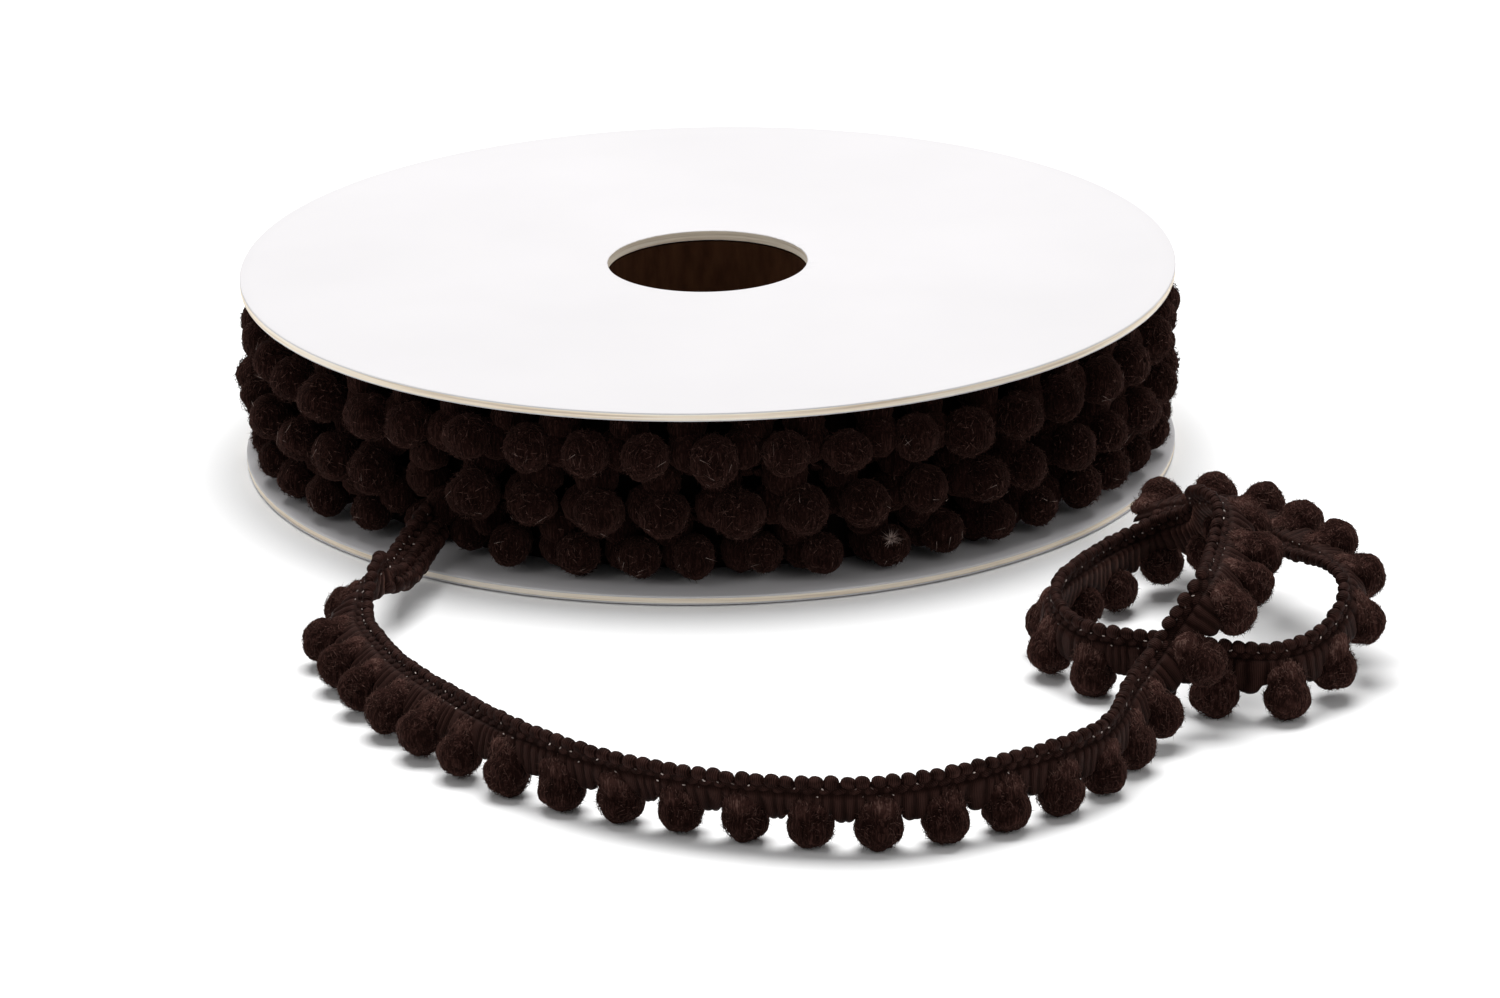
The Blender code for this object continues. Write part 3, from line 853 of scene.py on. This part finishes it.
for number in range(int(LOOSE_LENGTH / KNOT_PITCH) - 1):
    for run in STITCH_RUNS:
        for face in (1.0, -1.0):
            if scatter.random() > run["share"]:
                continue
            distance = (number + run["shift"] + 0.1 * scatter.uniform(-1.0, 1.0)) * KNOT_PITCH
            place, direction, front, edgeward = run_frame(distance)
            place = place + edgeward * run["rise"] * MM + front * face * run["depth"] * MM
            turn = Matrix.Rotation(scatter.uniform(-1.0, 1.0), 4, "Y")
            half = scatter.uniform(0.2, 0.42) * MM
            size = Matrix.Diagonal((half, STITCH_THICKNESS, STITCH_THICKNESS, 1.0))
            add_copy(shape, stitch, axes(direction, front, edgeward, place) @ turn @ size)
stitches = add_piece("chain_stitch", shape, [stitch_thread])
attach(stitches, "root")
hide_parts("loose_heading")

# Loose pompoms
# One hangs from the band every 11.6 mm: a trimmed ball of soft yarn, caught in the band at its
# root, its yarn spread over the band's front like a thumb. Those of the first twenty that lie
# in front are one piece, and those of the raised loop are another; both are painted lighter
# than the winding's, the loop's most, as painted light.
LOOSE_HAIRS = 750
LAST_POMPOM_FROM_END = 0.9 * MM
LOOP_STARTS = 20
scatter = random.Random(8)
last = LOOSE_LENGTH - LAST_POMPOM_FROM_END
pompom_places = [FIRST_POMPOM + number * PITCH
                 for number in range(int((last - FIRST_POMPOM) / PITCH) + 1)]
# The front pompoms are painted a little lighter and the loop's lighter still, as painted light on
# the loose end and more on the raised loop.
for name, places, painted_lighting in (("front_pompoms", pompom_places[:LOOP_STARTS], 0.05),
                              ("loop_pompoms", pompom_places[LOOP_STARTS:], 0.12)):
    loose_templates = [
        pompom_template("%s_%d" % (name, seed), LOOSE_HAIRS, seed, thumb=True, painted_lighting=painted_lighting)
        for seed in (11, 12, 13)]
    shape = bmesh.new()
    tone_layer(shape)
    for distance in places:
        place, direction, front, edgeward = run_frame(distance)
        centre = place - edgeward * (TRIM_BELOW - POMPOM_RADIUS)
        radius = POMPOM_RADIUS + scatter.uniform(-0.12, 0.10) * MM
        mirror = -1.0 if scatter.random() < 0.5 else 1.0
        size = Matrix.Diagonal((mirror * radius * scatter.uniform(1.0, 1.07), radius, radius, 1.0))
        sway = Matrix.Rotation(scatter.uniform(-0.1, 0.1), 4, "Y")
        placement = axes(direction, front, edgeward, centre) @ sway @ size
        add_copy(shape, scatter.choice(loose_templates), placement)
    bmesh.ops.recalc_face_normals(shape, faces=shape.faces)
    group = add_piece(name, shape, [yarn])
    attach(group, "root")
    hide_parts("loose_pompom_strip")

# Loose band
# The flat band between the corded rows and the pompoms: a narrow tape wrapped crosswise with
# satin floss, which bulges in a scallop between each two pompoms. Its reverse is shinier.
ROLLS_TO_A_POMPOM = 6.0
STEPS_TO_A_ROLL = 6.0
ROLL_PITCH = PITCH / ROLLS_TO_A_POMPOM
WRAP_PITCH = 0.29 * MM
WAVE_PERIOD = 0.314
BAND_LOW = -4.6
SCALLOP_TOP = -3.0
SCALLOP_HALF_WIDTH = 0.17
BARE_LOW = -3.3
BARE_ROLL_PITCH = 3.9 * MM
# One face of the band from its top edge down, in millimetres: height from the trim's middle,
# half thickness, and how much the rolls of floss shape it and paint shade between them.
BAND_ROWS = (
    {"rise": 3.60, "half": 0.00, "rolls": 0.0},
    {"rise": 2.60, "half": 0.45, "rolls": 0.3},
    {"rise": 1.50, "half": 0.50, "rolls": 0.4},
    {"rise": 1.34, "half": 1.12, "rolls": 0.8},
    {"rise": 0.95, "half": 1.46, "rolls": 1.0},
    {"rise": 0.10, "half": 1.56, "rolls": 1.0},
    {"rise": -1.10, "half": 1.48, "rolls": 1.0},
    {"rise": -2.40, "half": 1.38, "rolls": 1.0},
    {"rise": -3.50, "half": 1.22, "rolls": 1.0},
    {"rise": -4.25, "half": 0.84, "rolls": 1.0},
    {"rise": -4.60, "half": 0.00, "rolls": 0.0},
)


def satin_material(name, roughness, gloss, sheen):
    """Satin floss: fine wraps side by side, with painted shade down in the grooves between the
    rolls.
    """
    material, shader, links = new_material(name)
    wraps = place_effect(material, yarn_wraps, Distortion=1.2)
    painted_roll_shade = material.node_tree.nodes.new("ShaderNodeAttribute")
    painted_roll_shade.attribute_name = "tone"
    links.new(colour_ramp(
        material, links, weighted_sum(material, links, wraps, 0.30, painted_roll_shade.outputs["Fac"]), (
            (0.25, (0.0030, 0.0011, 0.0008)), (0.80, (0.0120, 0.0048, 0.0038)),
            (1.25, (0.0270, 0.0120, 0.0098)))), shader.inputs["Base Color"])
    add_bump(material, links, shader, wraps, 0.6, 0.08 * MM)
    shader.inputs["Roughness"].default_value = roughness
    shader.inputs["Specular IOR Level"].default_value = gloss
    shader.inputs["Specular Tint"].default_value = (1.0, 0.60, 0.48, 1.0)
    shader.inputs["Sheen Weight"].default_value = sheen
    shader.inputs["Sheen Roughness"].default_value = 0.3
    shader.inputs["Sheen Tint"].default_value = (0.85, 0.42, 0.32, 1.0)
    return material


satin = satin_material("satin_floss", 0.5, 0.05, 0.05)
satin_back = satin_material("satin_floss_back", 0.4, 0.05, 0.20)

around = BAND_ROWS + BAND_ROWS[-2:0:-1]
steps = int(LOOSE_LENGTH / (ROLL_PITCH / STEPS_TO_A_ROLL))
shape = bmesh.new()
layer = shape.loops.layers.uv.new("wraps")
bmesh.ops.create_grid(shape, x_segments=len(around), y_segments=steps, size=0.5)
painted_shading_key = tone_layer(shape)
cells = {}
for point in shape.verts:
    column = int(round((point.co.x + 0.5) * len(around)))
    number = int(round((point.co.y + 0.5) * steps))
    cells.setdefault(number, []).append((column, point))
along = {}
on_back = set()
for number, ring in cells.items():
    distance = LOOSE_LENGTH * number / steps
    place, direction, front, edgeward = run_frame(distance)
    phase = (distance - FIRST_POMPOM) / PITCH
    bare = 1.0 - smooth_step((distance - BARE_LENGTH) / PITCH + 0.5)
    from_gap = abs(phase % 1.0 - 0.5) / SCALLOP_HALF_WIDTH
    scallop = math.sqrt(max(0.0, 1.0 - from_gap ** 2))
    low = SCALLOP_TOP + (BAND_LOW - SCALLOP_TOP) * scallop
    low += (BARE_LOW - low) * bare
    wander = noise.noise(Vector((distance / (5.0 * MM), 0.0, 0.0))) * 0.80
    pitch = ROLL_PITCH if bare < 0.5 else BARE_ROLL_PITCH
    for column, point in ring:
        side = 1.0 if column < len(BAND_ROWS) else -1.0
        row = around[column % len(around)]
        rise_up = row["rise"]
        slip = 0.20 * noise.noise(Vector((distance / (2.5 * MM), rise_up * 0.5, side * 5.0)))
        roll = abs(math.sin(math.pi * (distance / pitch + wander + slip))) ** 0.6
        if rise_up < -1.0:
            rise_up = -1.0 + (rise_up + 1.0) * (low + 1.0) / (BAND_LOW + 1.0)
            rise_up += 0.18 * (1.0 - roll) * (row["rise"] + 1.0) / (BAND_LOW + 1.0)
        depth = (0.43 if side > 0.0 else 0.26) + 0.30 * bare
        half = row["half"] * (1.0 - depth * row["rolls"] * (1.0 - roll)) * (1.0 - 0.25 * bare)
        point.co = place + edgeward * rise_up * MM + front * side * half * MM
        # Painted shade in the grooves between the rolls and painted light towards the top edge;
        # darker along the bare start.
        point[painted_shading_key] = 0.24 + 0.60 * roll * row["rolls"] + 0.05 * rise_up - 0.10 * bare
        along[point] = distance
        if side < 0.0:
            on_back.add(point)
for face in shape.faces:
    face.material_index = 1 if any(point in on_back for point in face.verts) else 0
    for loop in face.loops:
        loop[layer].uv = (along[loop.vert] / WRAP_PITCH * WAVE_PERIOD, 0.0)
bmesh.ops.remove_doubles(shape, verts=shape.verts, dist=0.001 * MM)
bmesh.ops.holes_fill(shape, edges=[edge for edge in shape.edges if edge.is_boundary])
bmesh.ops.recalc_face_normals(shape, faces=shape.faces)
band = add_piece("loose_band", shape, [satin, satin_back])
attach(band, "root")
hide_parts("loose_pompom_strip")
